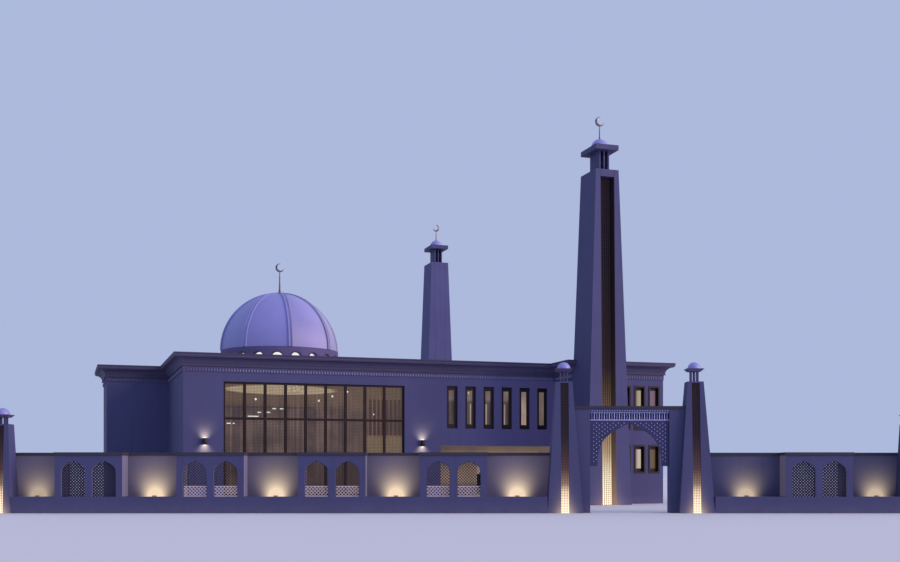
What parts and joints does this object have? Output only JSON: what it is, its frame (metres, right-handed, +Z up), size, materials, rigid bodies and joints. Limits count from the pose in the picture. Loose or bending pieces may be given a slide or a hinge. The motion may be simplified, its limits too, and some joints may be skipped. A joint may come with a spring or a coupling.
{
  "type": "mosque building with gated street wall, 1:2 scale model",
  "caption": "Flat-roofed mosque with ribbed dome on a windowed drum, tapered minarets, tall glazed hall front, deep cornice, and a street wall with an arched gate between pylons.",
  "frame": {"origin": "on the ground below the centre of the dome, in the underside of the ground floor", "axes": "+X along the front from left to right, +Y to the back, +Z up"},
  "size_m": [22.1985, 27.7462, 12.2631],
  "materials": {
    "wall_render": "smooth lilac wall render, matt",
    "concrete": "plain concrete slab",
    "dark_coping": "dark stone coping",
    "bronze": "dark bronze paint, satin",
    "window_glass": "warm tinted glass over a fine lattice",
    "dome_plaster": "smooth pale violet dome plaster",
    "pale_fins": "pale painted bars"
  },
  "bodies": {
    "root": {"block_back_left_wall": "wall_render", "block_back_lower_glass": "window_glass", "block_back_upper_glass": "window_glass", "block_back_wall": "wall_render", "block_front_left_wall": "wall_render", "block_front_lower_glass": "window_glass", "block_front_upper_glass": "window_glass", "block_front_wall": "wall_render", "cornice": "wall_render", "dome": "dome_plaster", "dome_finial": "bronze", "dome_ribs": "dome_plaster", "drum": "wall_render", "drum_glass": "window_glass", "end_pylon_left": "wall_render", "end_pylon_right": "wall_render", "first_floor": "concrete", "gate_coping": "dark_coping", "gate_fins": "pale_fins", "gate_pylon_left": "wall_render", "gate_pylon_right": "wall_render", "gate_screen": "wall_render", "gate_wall": "wall_render", "ground_floor": "concrete", "hall_back_glass": "window_glass", "hall_back_wall": "wall_render", "hall_back_window": "bronze", "hall_front_glass": "window_glass", "hall_front_wall": "wall_render", "hall_front_window": "bronze", "left_back_wall": "wall_render", "left_front_wall": "wall_render", "link_back_lower_glass": "window_glass", "link_back_upper_glass": "window_glass", "link_back_wall": "wall_render", "link_front_glass": "window_glass", "link_front_wall": "wall_render", "mihrab_back_wall": "wall_render", "mihrab_front_wall": "wall_render", "mihrab_left_wall": "wall_render", "minaret_back_finial": "dome_plaster", "minaret_back_lantern": "wall_render", "minaret_back_screen": "bronze", "minaret_back_shaft": "wall_render", "minaret_front_finial": "dome_plaster", "minaret_front_lantern": "wall_render", "minaret_front_screen": "bronze", "minaret_front_shaft": "wall_render", "porch_back_wall": "wall_render", "porch_left_wall": "wall_render", "right_lower_glass": "window_glass", "right_upper_glass": "window_glass", "right_wall": "wall_render", "roof_slab": "concrete", "street_coping_left": "dark_coping", "street_coping_right": "dark_coping", "street_wall_left": "wall_render", "street_wall_right": "wall_render"}
  },
  "joints": []
}
